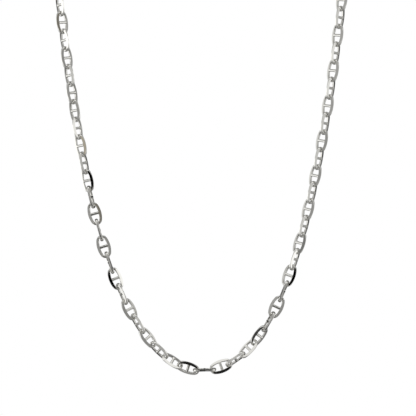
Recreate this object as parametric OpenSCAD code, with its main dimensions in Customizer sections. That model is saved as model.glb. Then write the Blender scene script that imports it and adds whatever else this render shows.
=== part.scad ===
// Mariner link chain necklace, closed with a clasp at the nape.
// The front hangs as a U in an upright plane, and the rest goes round a neck to the nape.
// Millimetres, +Z up, front towards -Y, left and right as seen from the front.
// The origin is the middle of the nape, on the chain's centre line.

/* [Link] */
// Length of a link, outside
link_l = 7.2; // [7:0.05:7.25]
// Width of a link, outside
link_w = 4.15; // [4:0.05:4.2]
// Radius of a link's round ends, outside
end_r = 1.75; // [1.5:0.05:1.8]
// Thickness of the link across its face
link_t = 0.95; // [0.85:0.05:1]
// Width of the link's wire, seen on its face
wire_w = 0.75; // [0.7:0.05:0.8]
// Width of the corners taken off the wire
wire_edge = 0.22; // [0.2:0.01:0.24]
// Thickness of the bar across the middle
bar_t = 0.8; // [0.7:0.05:0.95]
// Slope of the flat cut along each side, in degrees
cut_slope = 20; // [18:1:24]
// Distance from the link's middle line to where the cut starts
cut_start = 1; // [0.95:0.05:1.3]

/* [Hanging front] */
// Radius of the chain's curve at its lowest point
curve_a = 15.55; // [14:0.05:18]
// Depth of the lowest point below the nape
drop = 153.5; // [140:0.5:165]
// Distance from the nape forward to the hanging front
front_gap = 93; // [85:1:105]
// Shift of the lowest link to the right of the lowest point
lowest_shift = 0.4; // [0:0.1:1]
// Number of links on each side of the lowest one that hang slack
slack_links = 14; // [4:1:16]
// Number of links on each side of the lowest one in the hanging front
front_links = 24; // [20:1:26]
// Distance between the middles of slack links
slack_pitch = 5.21; // [5.1:0.01:5.3]
// Distance between the middles of taut links
taut_pitch = 5.47; // [5.4:0.01:5.52]

/* [Round the neck] */
// Number of links on each side between the hanging front and the clasp
neck_links = 26; // [25:1:26]
// Pull of the curve along the arm where it leaves the front
arm_pull = 45; // [40:1:60]
// Pull of the curve along the nape
nape_pull = 85.5; // [80:0.5:95]

/* [Clasp and rings] */
// Thickness of the clasp's loop
clasp_t = 1.3; // [1:0.1:1.4]
// Radius of the loop's round ends, to the middle of its thickness
clasp_r = 1.7; // [1.6:0.05:2]
// Length of the loop's straight sides
clasp_side = 3.2; // [2.6:0.1:4]
// Thickness of the eye at the clasp's tail
eye_t = 0.7; // [0.6:0.05:0.8]
// Radius of the eye, to the middle of its thickness
eye_r = 0.95; // [0.9:0.05:1.1]
// Thickness of the thumb nib
nib_t = 0.8; // [0.6:0.1:1]
// How far the thumb nib stands out of the loop
nib_out = 0.6; // [0.4:0.1:0.8]
// Thickness of the two small rings
ring_t = 0.7; // [0.5:0.05:0.75]
// Radius of the two small rings, to the middle of their thickness
ring_r = 1.55; // [1.4:0.05:1.8]
// Clearance at the contact of two parts of the clasp
seat_gap = 0.16; // [0.14:0.01:0.2]

/* [Hidden] */

metal = [0.80, 0.80, 0.81];

// How the links hang, in degrees and millimetres. The links between two rows go over
// from one to the other. A link with a roll of 0 shows its face to the front, and every
// odd link has a quarter turn more. Sway is away from the middle of the loop, and slide
// is along it to the right.
// Columns: number of the link, roll, sway, slide
link_hangs = [
    [-50, 0, 0, 0],
    [-24, -55, -0.3, -0.36],
    [-20, -48, -0.12, -0.33],
    [-17, -38, 0.08, -0.32],
    [-14, -28, 0.27, -0.31],
    [-13, -13, 0.35, -0.3],
    [-12, -3, 0.43, -0.32],
    [-11, 0, 0.46, -0.29],
    [-10, 0, 0.5, -0.26],
    [-8, 18, 0.3, -0.22],
    [-6, 27, 0.2, -0.28],
    [-4, 36, -0.07, -0.35],
    [-2, 45, -0.1, -0.2],
    [-1, 63, -0.15, -0.15],
    [0, 87, -0.32, -0.1],
    [1, 105, -0.28, -0.04],
    [2, 118, -0.16, -0.1],
    [4, 143, -0.08, -0.2],
    [5, 165, 0.03, -0.28],
    [6, 180, 0.08, -0.32],
    [7, 191, 0.04, -0.28],
    [8, 205, -0.05, -0.24],
    [10, 216, -0.12, -0.14],
    [12, 217, -0.18, 0.08],
    [14, 217, -0.25, 0.28],
    [16, 217, -0.22, 0.22],
    [20, 218, -0.2, 0.26],
    [24, 221, -0.2, 0.3],
    [50, 180, 0, 0]
];
function hang(i, column) = lookup(i, [for (row = link_hangs) [row[0], row[column]]]);

// The oval is four arcs about these centres, joined on the lines between the centres
half_w = link_w / 2;
half_l = link_l / 2;
end_c = half_l - end_r;
side_r = (half_w * half_w + end_c * end_c - end_r * end_r) / (2 * (half_w - end_r));
side_c = side_r - half_w;
join_a = atan2(end_c, side_c);

inner_half_l = half_l - wire_w;
// How far the bar's ends stop inside the outline of the link
bar_inset = 0.1;
// How far the space under the cuts goes past the link's ends
cut_margin = 0.5;
last_link = front_links + neck_links;
front_s = slack_links * slack_pitch + (front_links - slack_links) * taut_pitch;

// Along the clasp, from the middle of its loop
eye_sink = 0.25;
loop_half = clasp_side / 2 + clasp_r;
eye_c = loop_half + clasp_t / 2 + eye_r + eye_t / 2 - eye_sink;
clasp_ring_c = eye_c + eye_r - eye_t / 2 + ring_r - ring_t / 2 - seat_gap;
end_ring_c = loop_half - clasp_t / 2 + ring_r - ring_t / 2 - seat_gap;
ring_span = (clasp_ring_c + end_ring_c) / 2;
clasp_shift = (clasp_ring_c - end_ring_c) / 2;
link_span = ring_span + inner_half_l + ring_r - ring_t / 2 - seat_gap;

// The hanging front is a catenary. s is the length along it from its lowest point.
function front_pos(s) =
    let (r = sqrt(curve_a * curve_a + s * s))
    [curve_a * ln((s + r) / curve_a), -front_gap, r - curve_a - drop];
function front_dir(s) = [curve_a, 0, s] / sqrt(curve_a * curve_a + s * s);

// The right side from the front to the nape is one cubic curve, t from 0 to 1
side_p0 = front_pos(front_s);
side_p1 = side_p0 + arm_pull * front_dir(front_s);
side_p2 = [nape_pull, 0, 0];
function side_pos(t) =
    pow(1 - t, 3) * side_p0
    + 3 * t * pow(1 - t, 2) * side_p1
    + 3 * t * t * (1 - t) * side_p2;
function side_slope(t) =
    3 * pow(1 - t, 2) * (side_p1 - side_p0)
    + 6 * t * (1 - t) * (side_p2 - side_p1)
    - 3 * t * t * side_p2;
function side_step(i) = norm(side_pos((i + 1) / side_steps) - side_pos(i / side_steps));

// Columns: length from the front, t
side_steps = 200;
side_lengths = [
    for (i = 0, l = 0; i <= side_steps; l = l + side_step(i), i = i + 1)
        [l, i / side_steps]
];
side_s = side_lengths[side_steps][0];
half_loop = front_s + side_s;
neck_pitch = (half_loop - link_span - front_s) / neck_links;

function unit(v) = v / norm(v);
function mirrored(v, side) = [side * v[0], v[1], v[2]];

// Point, direction and outward direction of the loop, u along it from the lowest point,
// less than 0 on the left. The direction goes from left to right.
function loop_t(u) = lookup(abs(u) - front_s, side_lengths);
function loop_pos(u) =
    abs(u) < front_s ? front_pos(u) : mirrored(side_pos(loop_t(u)), sign(u));
function loop_dir(u) =
    abs(u) < front_s ? front_dir(u) : sign(u) * mirrored(unit(side_slope(loop_t(u))), sign(u));
function loop_out(u) =
    let (a = abs(u) < front_s ? 0 : 180 * loop_t(u))
    let (out = [sign(u) * sin(a), -cos(a), 0])
    let (dir = loop_dir(u))
    unit(out - dir * (dir * out));

// Places a part at u with its length along the loop, its face at the roll from outward,
// and its middle at the sway from the loop's line
module on_loop(u, roll, sway = 0) {
    along = loop_dir(u);
    out = loop_out(u);
    inward = cross(out, along);
    face = cos(roll) * out + sin(roll) * inward;
    across = cross(along, face);
    pos = loop_pos(u) - sway * inward;
    multmatrix([
        [across[0], along[0], face[0], pos[0]],
        [across[1], along[1], face[1], pos[1]],
        [across[2], along[2], face[2], pos[2]]
    ])
        children();
}

// Length along the loop from link 0 to link i
function link_s(i) =
    let (n = abs(i))
    let (slack = min(n, slack_links))
    let (taut = min(n, front_links) - slack)
    let (neck = n - slack - taut)
    sign(i) * (slack * slack_pitch + taut * taut_pitch + neck * neck_pitch);

// Section of the wire: an oblong with its corners taken off
module wire_section() {
    w = wire_w / 2;
    h = link_t / 2;
    x = w - wire_edge;
    y = h - wire_edge;
    polygon([[w, -y], [w, y], [x, h], [-x, h], [-w, y], [-w, -y], [-x, -h], [x, -h]]);
}

// Arc of wire about the origin, r outside, from angle a over angle sweep
module wire_arc(r, a, sweep) {
    rotate_extrude(angle = sweep, start = a, $fn = 96)
        translate([r - wire_w / 2, 0])
            wire_section();
}

// Oval of wire, length along Y
module oval() {
    for (side = [0, 180])
        rotate([0, 0, side]) {
            translate([-side_c, 0, 0])
                wire_arc(side_r, -join_a, 2 * join_a);
            translate([0, end_c, 0])
                wire_arc(end_r, join_a, 180 - 2 * join_a);
        }
}

// Bar across the middle, soldered into the sides
module bar() {
    rotate([0, 90, 0])
        cylinder(d = bar_t, h = link_w - 2 * bar_inset, center = true, $fn = 32);
}

// Space under the sloped cuts: a long roof above the middle line and one below
module cut_space() {
    ridge = link_t / 2 + cut_start * tan(cut_slope);
    reach = ridge / tan(cut_slope);
    rotate([90, 0, 0])
        linear_extrude(link_l + 2 * cut_margin, center = true)
            polygon([[0, ridge], [-reach, 0], [0, -ridge], [reach, 0]]);
}

module link() {
    intersection() {
        union() {
            oval();
            bar();
        }
        cut_space();
    }
}

module links(first, last) {
    for (i = [first:last]) {
        turn = i % 2 == 0 ? 0 : 90;
        on_loop(lowest_shift + link_s(i) + hang(i, 3), hang(i, 1) + turn, hang(i, 2))
            link();
    }
}

module ring(r, t) {
    rotate_extrude($fn = 72)
        translate([r, 0])
            circle(d = t, $fn = 36);
}

module chain_left() {
    color(metal)
        links(-last_link, 0);
}

module chain_right() {
    color(metal)
        links(1, last_link);
}

// Loop with round ends, a thumb nib on one side, and an eye on a short neck
module clasp_body() {
    for (end = [-1, 1])
        translate([0, end * clasp_side / 2, 0])
            rotate_extrude(angle = 180, start = end > 0 ? 0 : 180, $fn = 72)
                translate([clasp_r, 0])
                    circle(d = clasp_t, $fn = 36);
    for (side = [-1, 1])
        translate([side * clasp_r, 0, 0])
            rotate([90, 0, 0])
                cylinder(d = clasp_t, h = clasp_side, center = true, $fn = 36);
    translate([clasp_r, clasp_side / 2, 0])
        rotate([0, 90, 0])
            cylinder(d = nib_t, h = clasp_t / 2 + nib_out, $fn = 36);
    translate([0, eye_c, 0])
        ring(eye_r, eye_t);
}

module clasp() {
    color(metal)
        on_loop(lowest_shift - half_loop, 0)
            translate([0, -clasp_shift, 0])
                clasp_body();
}

module clasp_ring() {
    color(metal)
        on_loop(lowest_shift - (half_loop - ring_span), 90)
            ring(ring_r, ring_t);
}

module end_ring() {
    color(metal)
        on_loop(lowest_shift + (half_loop - ring_span), 90)
            ring(ring_r, ring_t);
}

chain_left();
chain_right();
clasp();
clasp_ring();
end_ring();
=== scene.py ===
import math

import bmesh
import bpy
import numpy as np
from mathutils import Matrix, Vector


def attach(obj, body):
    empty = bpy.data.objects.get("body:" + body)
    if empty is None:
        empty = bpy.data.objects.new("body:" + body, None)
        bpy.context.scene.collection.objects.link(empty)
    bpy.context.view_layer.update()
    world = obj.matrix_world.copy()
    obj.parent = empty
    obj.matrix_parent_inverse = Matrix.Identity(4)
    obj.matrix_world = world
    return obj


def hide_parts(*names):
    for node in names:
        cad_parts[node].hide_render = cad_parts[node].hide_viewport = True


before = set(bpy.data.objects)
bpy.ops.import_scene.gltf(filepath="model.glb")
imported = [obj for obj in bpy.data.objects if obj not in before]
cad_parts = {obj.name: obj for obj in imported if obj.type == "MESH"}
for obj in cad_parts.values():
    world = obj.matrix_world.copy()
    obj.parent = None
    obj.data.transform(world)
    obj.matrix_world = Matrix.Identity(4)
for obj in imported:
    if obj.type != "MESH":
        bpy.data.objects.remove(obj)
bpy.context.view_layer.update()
mm = 0.001
print("frame loaded:", len(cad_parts), "nodes")


def linearColour(hexColour):
    # An sRGB colour as linear red, green and blue, with a full alpha
    parts = [int(hexColour[i:i + 2], 16) / 255 for i in (1, 3, 5)]
    return [c / 12.92 if c <= 0.04045 else ((c + 0.055) / 1.055) ** 2.4 for c in parts] + [1]


def addNode(tree, kind, links=None, **settings):
    # links: input name or number -> output socket, or a plain value for that input
    node = tree.nodes.new(kind)
    for name, value in settings.items():
        setattr(node, name, value)
    for key, value in (links or {}).items():
        if isinstance(value, bpy.types.NodeSocket):
            tree.links.new(value, node.inputs[key])
        else:
            node.inputs[key].default_value = value
    return node


def newMaterial(name):
    material = bpy.data.materials.new(name)
    material.use_nodes = True
    material.node_tree.nodes.clear()
    return material, material.node_tree


def finishMaterial(tree, shader):
    addNode(tree, "ShaderNodeOutputMaterial", {"Surface": shader.outputs[0]})


def giveMaterial(obj, material):
    obj.data.materials.clear()
    obj.data.materials.append(material)


def meshFrom(bm, name):
    mesh = bpy.data.meshes.new(name)
    bm.to_mesh(mesh)
    bm.free()
    return mesh


def addObject(name, data):
    obj = bpy.data.objects.new(name, data)
    bpy.context.scene.collection.objects.link(obj)
    return obj


# The link. Sizes in mm.
link = {
    "length": 7.2,  # outside
    "width": 4.15,
    "endRadius": 1.75,
    "thick": 0.95,  # across its face
    "wire": 0.75,  # seen on its face
    "sideWire": 0.88,  # the flat cuts leave the wire wider along the sides
    "plainFrom": 50,  # degrees from a side's middle to where the wire is plain again
    "sectionPower": 2.2,  # 2 is an ellipse, more is squarer
    "bar": 0.8,
    "barInset": 0.12,  # from the link's outside to the bar's end, inside the wire
    "barFlare": 0.1,  # what the solder adds to half the bar's height at its ends
    "barFlareReach": 0.22,
    "cutSlope": 20,  # degrees
    "cutStart": 1.0,  # from the middle line
    "cutTolerance": 1e-5,
    "sideSteps": 11,
    "endSteps": 22,
    "sectionSteps": 28,
    "barSides": 24,
    "barRings": 22,
    "barCrowding": 0.7,  # below 1 the bar's rings lie closer towards its ends
}


def ovalFacts():
    # The oval is two end arcs and two side arcs: where their centres are, their radii, and
    # the outward angle at which a side turns into an end
    halfW = link["width"] / 2
    endC = link["length"] / 2 - link["endRadius"]
    endR = link["endRadius"]
    sideR = (halfW ** 2 + endC ** 2 - endR ** 2) / (2 * (halfW - endR))
    sideC = sideR - halfW
    return endC, endR, sideC, sideR, math.atan2(endC, sideC)


def ovalStations():
    # Outward angles round the oval, from side to end to side to end
    joinA = ovalFacts()[4]
    angles = []
    for halfTurn in (0, math.pi):
        sideSpan = np.linspace(-joinA, joinA, link["sideSteps"], endpoint=False)
        endSpan = np.linspace(joinA, math.pi - joinA, link["endSteps"], endpoint=False)
        angles += list(sideSpan + halfTurn) + list(endSpan + halfTurn)
    return angles


def ovalPoint(angle, inset):
    # Point of the outline moved inwards by inset, where the outward direction has this angle
    endC, endR, sideC, sideR, joinA = ovalFacts()
    out = Vector((math.cos(angle), math.sin(angle), 0))
    if abs(out.x) >= math.cos(joinA):
        centre = Vector((-math.copysign(sideC, out.x), 0, 0))
        return centre + out * (sideR - inset), out
    centre = Vector((0, math.copysign(endC, out.y), 0))
    return centre + out * (endR - inset), out


def wireWidth(angle):
    # Widest in the middle of a side, and plain wire well before the end's top
    towardEnd = min(abs(math.sin(angle)) / math.sin(math.radians(link["plainFrom"])), 1)
    blend = towardEnd * towardEnd * (3 - 2 * towardEnd)  # eases in and out
    return link["sideWire"] + (link["wire"] - link["sideWire"]) * blend


def wireSection(width):
    # Between an ellipse and an oblong, as (outward, up) pairs from its middle
    power = 2 / link["sectionPower"]
    points = []
    for a in np.linspace(0, 2 * math.pi, link["sectionSteps"], endpoint=False):
        c, s = math.cos(a), math.sin(a)
        out = width / 2 * math.copysign(abs(c) ** power, c)
        points.append((out, link["thick"] / 2 * math.copysign(abs(s) ** power, s)))
    return points


def skinned(name, rings, closed):
    # A mesh over rings of points, run round from the last to the first or capped at both ends
    bm = bmesh.new()
    rows = [[bm.verts.new(p) for p in ring] for ring in rings]
    count = len(rows[0])
    for i in range(len(rows) if closed else len(rows) - 1):
        a, b = rows[i], rows[(i + 1) % len(rows)]
        for j in range(count):
            k = (j + 1) % count
            bm.faces.new((a[j], b[j], b[k], a[k]))
    if not closed:
        bm.faces.new(rows[0])
        bm.faces.new(reversed(rows[-1]))
    bmesh.ops.recalc_face_normals(bm, faces=bm.faces)
    return meshFrom(bm, name)


def ovalMesh():
    rings = []
    for angle in ovalStations():
        width = wireWidth(angle)
        middle, out = ovalPoint(angle, width / 2)
        rings.append([middle + out * u + Vector((0, 0, v)) for u, v in wireSection(width)])
    return skinned("oval", rings, True)


def barMesh():
    # The bar runs into the wire, and widens at its ends where the solder runs along the wire
    halfSpan = link["width"] / 2 - link["barInset"]
    innerFace = link["width"] / 2 - link["sideWire"]
    radius = link["bar"] / 2
    rings = []
    for t in np.linspace(-1, 1, link["barRings"] + 1):
        x = halfSpan * math.copysign(abs(t) ** link["barCrowding"], t)
        clear = max(innerFace - abs(x), 0)
        alongWire = radius + link["barFlare"] * math.exp(-(clear / link["barFlareReach"]) ** 2)
        ring = []
        for a in np.linspace(0, 2 * math.pi, link["barSides"], endpoint=False):
            ring.append(Vector((x, alongWire * math.cos(a), radius * math.sin(a))))
        rings.append(ring)
    return skinned("bar", rings, False)


def unite(meshA, meshB):
    a = addObject("uniteA", meshA)
    b = addObject("uniteB", meshB)
    union = a.modifiers.new("union", "BOOLEAN")
    union.operation = "UNION"
    union.solver = "EXACT"
    union.object = b
    evaluated = a.evaluated_get(bpy.context.evaluated_depsgraph_get())
    mesh = bpy.data.meshes.new_from_object(evaluated)
    for obj in (a, b):
        bpy.data.objects.remove(obj)
    return mesh


def cutSides(mesh):
    # Takes the four sloped flats off the sides, and leaves their edges crisp
    bm = bmesh.new()
    bm.from_mesh(mesh)
    for face in bm.faces:
        face.smooth = True
    tilt = math.radians(link["cutSlope"])
    for side in (-1, 1):
        for up in (-1, 1):
            normal = Vector((side * math.sin(tilt), 0, up * math.cos(tilt)))
            foot = Vector((side * link["cutStart"], 0, up * link["thick"] / 2))
            bmesh.ops.bisect_plane(
                bm, geom=bm.verts[:] + bm.edges[:] + bm.faces[:], dist=link["cutTolerance"],
                plane_co=foot, plane_no=normal, clear_outer=True)
            rim = [e for e in bm.edges if e.is_boundary]
            filled = bmesh.ops.holes_fill(bm, edges=rim, sides=0)
            for face in filled["faces"]:
                face.smooth = False
                for edge in face.edges:
                    edge.smooth = False
    bmesh.ops.scale(bm, vec=(mm, mm, mm), verts=bm.verts)
    bmesh.ops.recalc_face_normals(bm, faces=bm.faces)
    return meshFrom(bm, "link")


weldDistance = 1e-6  # metres, between points of a CAD node that are one point


def looseSolids(obj):
    # The triangles of each loose solid of a CAD node, as arrays of their corners
    bm = bmesh.new()
    bm.from_mesh(obj.data)
    bmesh.ops.remove_doubles(bm, verts=bm.verts, dist=weldDistance)
    bmesh.ops.triangulate(bm, faces=bm.faces)
    bm.verts.index_update()
    points = np.array([v.co for v in bm.verts])
    corners = np.array([[v.index for v in f.verts] for f in bm.faces])
    bm.free()
    label = np.arange(len(points))  # comes down to the lowest point that each one joins
    while True:
        lowest = label[corners].min(axis=1)
        smaller = label.copy()
        for column in range(3):
            np.minimum.at(smaller, corners[:, column], lowest)
        smaller = smaller[smaller]
        if (smaller == label).all():
            break
        label = smaller
    return [points[corners[label[corners[:, 0]] == solid]] for solid in np.unique(label)]


def placeOf(tri):
    # A solid's middle and its axes, from its volume's second moments. Columns of the matrix:
    # across, along, face. The sums run over tetrahedra from the origin to each triangle, whose
    # middles are a quarter of their corners' sum and whose second moments are a twentieth.
    origin = tri.mean(axis=(0, 1))
    tri = tri - origin
    volume6 = np.einsum("ij,ij->i", tri[:, 0], np.cross(tri[:, 1], tri[:, 2]))
    total = tri.sum(axis=1)
    centre = (volume6[:, None] * total).sum(axis=0) / 4 / volume6.sum()
    second = np.einsum("i,ij,ik->jk", volume6, total, total)
    for k in range(3):
        second += np.einsum("i,ij,ik->jk", volume6, tri[:, k], tri[:, k])
    second = second / 20 / volume6.sum() - np.outer(centre, centre)
    axes = np.linalg.eigh(second)[1]
    face, across, along = axes[:, 0], axes[:, 1], axes[:, 2]
    face = face * np.sign(np.dot(np.cross(across, along), face))
    place = Matrix.Identity(4)
    for row in range(3):
        place[row][0] = across[row]
        place[row][1] = along[row]
        place[row][2] = face[row]
        place[row][3] = centre[row] + origin[row]
    return place


def chainObject(name, linkMesh, places):
    bm = bmesh.new()
    for place in places:
        copy = linkMesh.copy()
        copy.transform(place)
        bm.from_mesh(copy)
        bpy.data.meshes.remove(copy)
    return addObject(name, meshFrom(bm, name))


linkMesh = cutSides(unite(ovalMesh(), barMesh()))
linkMesh.calc_loop_triangles()
print("link made:", len(linkMesh.vertices), "points,", len(linkMesh.loop_triangles), "triangles")

# Sterling silver with a thin white plating
silver = {
    "colour": "#ECEBE6",
    "cutRoughness": 0.07,
    "castRoughness": 0.16,
}


def platedSilver(name, roughness):
    material, tree = newMaterial(name)
    shader = addNode(tree, "ShaderNodeBsdfPrincipled", {
        "Base Color": linearColour(silver["colour"]),
        "Metallic": 1.0,
        "Roughness": roughness,
    })
    finishMaterial(tree, shader)
    return material


# The links: drawn as wire, flat cut, polished and then plated. It gives the eye a bright
# mirror, broken by the crisp cuts and blurred a little by the polishing.
cutSilver = platedSilver("cutPlatedSilver", silver["cutRoughness"])

# The clasp and its rings: cast, tumbled and then plated. It gives the eye a softer mirror.
castSilver = platedSilver("castPlatedSilver", silver["castRoughness"])

for nodeName, pieceName in (("chain_left", "leftLinks"), ("chain_right", "rightLinks")):
    places = [placeOf(tri) for tri in looseSolids(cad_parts[nodeName])]
    piece = chainObject(pieceName, linkMesh, places)
    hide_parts(nodeName)
    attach(piece, "root")
    giveMaterial(piece, cutSilver)
    print(pieceName, "has", len(places), "links")

for nodeName in ("clasp", "clasp_ring", "end_ring"):
    giveMaterial(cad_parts[nodeName], castSilver)
print("silver laid on")

# The picture's frame: a square at the hanging front. Sizes in mm.
view = {
    "frameWidth": 128.0,
    "across": 1.79,  # the frame's middle
    "up": -103.40,
    "front": -93.0,
    "distance": 750.0,
    "roll": -0.42,  # degrees
    "sensor": 36.0,
    "nearest": 20,
    "farthest": 20000,
}


def addCamera():
    data = bpy.data.cameras.new("camera")
    data.sensor_width = view["sensor"]
    data.lens = view["sensor"] * view["distance"] / view["frameWidth"]
    data.clip_start = view["nearest"] * mm
    data.clip_end = view["farthest"] * mm
    camera = addObject("camera", data)
    aim = Matrix.Rotation(math.pi / 2, 4, "X")
    roll = Matrix.Rotation(math.radians(view["roll"]), 4, "Z")
    at = Vector((view["across"], view["front"] - view["distance"], view["up"])) * mm
    camera.matrix_world = Matrix.Translation(at) @ aim @ roll
    bpy.context.scene.camera = camera


addCamera()
print("camera placed")

# The studio, in metres: a pale floor and room, a lit backdrop, and a tent of soft light
studio = {
    "floorHeight": -0.30,
    "floorHalf": 1.2,
    "floorColour": "#F2F1EE",
    "floorRoughness": 0.8,
    "room": 0.74,  # brightness
    "backdrop": 1.0,
    "backdropFrom": 0.75,  # y of the direction where the backdrop begins
    "backdropFull": 0.97,
    "tentRadius": 3.0,
    "tentMeridians": 48,
    "tentParallels": 24,
    "tentTones": [  # y of the direction, from -1 in front to 1 behind, and brightness
        (-1.0, 0.27), (-0.76, 0.3), (-0.67, 0.34), (-0.56, 0.4), (-0.4, 0.45), (-0.2, 0.5),
        (0.05, 0.54), (0.15, 0.46), (0.28, 0.42), (0.5, 0.38), (0.66, 0.33), (0.74, 0.18),
        (0.8, 0.06), (0.86, 0.02), (0.96, 0.01), (0.99, 0.08)],
    # The lighter and darker panels on the tent, each laid over those above it. Columns:
    # azimuth from the front to the right, elevation, half width, half height and softness of
    # the edge, all in degrees, then brightness and tint.
    "panels": [
        (0, 85, 24, 20, 4, 1.1, "#FFFFFF"),  # overhead
        (8, -51, 27, 27, 4, 0.07, "#FFFFFF"),  # dark below and behind
        (180, -50, 24, 30, 4, 0.1, "#FFFFFF"),
        (180, 52, 24, 20, 4, 0.1, "#FFFFFF"),
        (0, 15, 13, 8, 3, 0.3, "#FFFFFF"),  # in front
        (0, 42, 14, 20, 3, 0.2, "#FFFFFF"),
        (-10, -7, 13, 13.5, 2, 0.001, "#FFFFFF"),
        (0, -16, 10, 5.5, 2, 0.015, "#FFFFFF"),
        (-27, 6, 3, 9, 1, 0.2, "#FFFFFF"),  # on the left
        (-38, 6, 7.5, 10, 2, 0.41, "#FFFFFF"),
        (-85, 0, 19, 32, 4, 0.66, "#FFFFFF"),
        (-88, -8, 27, 17, 4, 1.3, "#FFFFFF"),
        (-118, 12, 7.5, 10, 3, 0.78, "#FFFFFF"),
        (-126, 36, 6, 6, 3, 0.85, "#FFFFFF"),
        (-135, -8, 12, 10, 3, 0.38, "#FFFFFF"),
        (62, -16, 9, 14, 3, 0.61, "#FFFFFF"),  # on the right
        (62, 12, 9, 12, 3, 0.93, "#FFFFFF"),
        (67, -3, 3.5, 2.2, 1, 0.87, "#FFFFFF"),
        (80, 0, 9, 26, 3, 1.15, "#FFFFFF"),
        (77, 11, 5, 4, 2, 0.45, "#FFFFFF"),
        (113, 33, 6, 6, 2, 0.7, "#FFFFFF"),
        (122, -34, 6, 6, 2, 0.22, "#FFFFFF"),
        (141, 10, 4, 3.5, 1, 0.5, "#FFFFFF"),
        (31, 37, 8, 8, 3, 0.95, "#FFFFFF"),  # on both sides of the front
        (-33, 41, 12, 20, 3, 0.88, "#FFFFFF"),
        (29, -22, 6, 6, 2, 0.05, "#FFFFFF"),
        (29.5, 9, 4, 3.5, 1, 0.2, "#FFF8EA"),
        (-32.5, -4, 4, 3.5, 1, 0.43, "#FFF6E4"),
    ],
}


def stageObject(name, mesh, material):
    obj = addObject(name, mesh)
    mesh.materials.append(material)
    return obj


def addFloor():
    # Matte white paper. It gives the eye a plain pale ground.
    bm = bmesh.new()
    bmesh.ops.create_grid(bm, x_segments=1, y_segments=1, size=studio["floorHalf"])
    material, tree = newMaterial("mattePaper")
    finishMaterial(tree, addNode(tree, "ShaderNodeBsdfPrincipled", {
        "Base Color": linearColour(studio["floorColour"]),
        "Roughness": studio["floorRoughness"],
    }))
    floor = stageObject("floor", meshFrom(bm, "floor"), material)
    floor.location = (0, 0, studio["floorHeight"])
    floor.visible_glossy = False  # the chain mirrors only the tent


def toneRamp(tree, value, stops):
    # Brightness along a value from -1 to 1
    scaled = addNode(tree, "ShaderNodeMapRange", {
        "Value": value, "From Min": -1, "From Max": 1, "To Min": 0, "To Max": 1})
    ramp = addNode(tree, "ShaderNodeValToRGB", {"Fac": scaled.outputs[0]})
    elements = ramp.color_ramp.elements
    while len(elements) < len(stops):
        elements.new(0.5)
    for element, (position, tone) in zip(elements, stops):
        element.position = (position + 1) / 2
        element.color = (tone, tone, tone, 1)
    return ramp.outputs[0]


def addMath(tree, operation, *values):
    node = addNode(tree, "ShaderNodeMath", dict(enumerate(values)), operation=operation)
    return node.outputs[0]


def addDot(tree, direction, axis):
    node = addNode(
        tree, "ShaderNodeVectorMath", {0: direction, 1: axis}, operation="DOT_PRODUCT")
    return node.outputs["Value"]


def panelAxes(azimuth, elevation):
    # Its right, its outward middle and its up
    turn = (Matrix.Rotation(math.radians(azimuth), 3, "Z")
            @ Matrix.Rotation(-math.radians(elevation), 3, "X"))
    return [turn @ Vector(axis) for axis in ((1, 0, 0), (0, -1, 0), (0, 0, 1))]


def addPanel(tree, direction, tone, panel):
    # Lays one soft-edged oblong over the tone so far
    azimuth, elevation, wide, high, soft, brightness, tint = panel
    right, middle, up = panelAxes(azimuth, elevation)
    blur = math.sin(math.radians(soft))
    mask = addMath(tree, "GREATER_THAN", addDot(tree, direction, middle), 0.0)
    for axis, size in ((right, wide), (up, high)):
        edge = math.sin(math.radians(size))
        off = addMath(tree, "ABSOLUTE", addDot(tree, direction, axis))
        inside = addNode(tree, "ShaderNodeMapRange", {
            "Value": off, "From Min": edge - blur, "From Max": edge + blur,
            "To Min": 1, "To Max": 0}, interpolation_type="SMOOTHSTEP")
        mask = addMath(tree, "MULTIPLY", mask, inside.outputs[0])
    glow = [brightness * c for c in linearColour(tint)[:3]] + [1]
    mixed = addNode(
        tree, "ShaderNodeMix", {"Factor": mask, "A": tone, "B": glow}, data_type="RGBA")
    return mixed.outputs["Result"]


def addTent():
    # White cloth lit from outside. It gives the eye the tones that the silver mirrors.
    bm = bmesh.new()
    bmesh.ops.create_uvsphere(
        bm, u_segments=studio["tentMeridians"], v_segments=studio["tentParallels"],
        radius=studio["tentRadius"])
    material, tree = newMaterial("lightTent")
    place = addNode(tree, "ShaderNodeTexCoord")
    unit = addNode(
        tree, "ShaderNodeVectorMath", {0: place.outputs["Object"]}, operation="NORMALIZE")
    direction = unit.outputs[0]
    split = addNode(tree, "ShaderNodeSeparateXYZ", {0: direction})
    tone = toneRamp(tree, split.outputs["Y"], studio["tentTones"])
    for panel in studio["panels"]:
        tone = addPanel(tree, direction, tone, panel)
    finishMaterial(tree, addNode(tree, "ShaderNodeEmission", {"Color": tone, "Strength": 1.0}))
    material.cycles.emission_sampling = "NONE"  # the mirrored rays find it by themselves
    tent = stageObject("tent", meshFrom(bm, "tent"), material)
    tent.location = Vector((view["across"], view["front"], view["up"])) * mm
    tent.visible_camera = False


def addWorld():
    # What the camera sees past the chain: a lit backdrop behind it, and the pale room
    world = bpy.data.worlds.new("room")
    world.use_nodes = True
    tree = world.node_tree
    tree.nodes.clear()
    direction = addNode(tree, "ShaderNodeTexCoord")
    split = addNode(tree, "ShaderNodeSeparateXYZ", {0: direction.outputs["Generated"]})
    room, backdrop = studio["room"], studio["backdrop"]
    stops = [(-1.0, room), (studio["backdropFrom"], room), (studio["backdropFull"], backdrop)]
    tone = toneRamp(tree, split.outputs["Y"], stops)
    background = addNode(tree, "ShaderNodeBackground", {"Color": tone, "Strength": 1.0})
    addNode(tree, "ShaderNodeOutputWorld", {"Surface": background.outputs[0]})
    bpy.context.scene.world = world


addFloor()
addTent()
addWorld()
bpy.context.scene.view_settings.view_transform = "Standard"
print("studio ready")
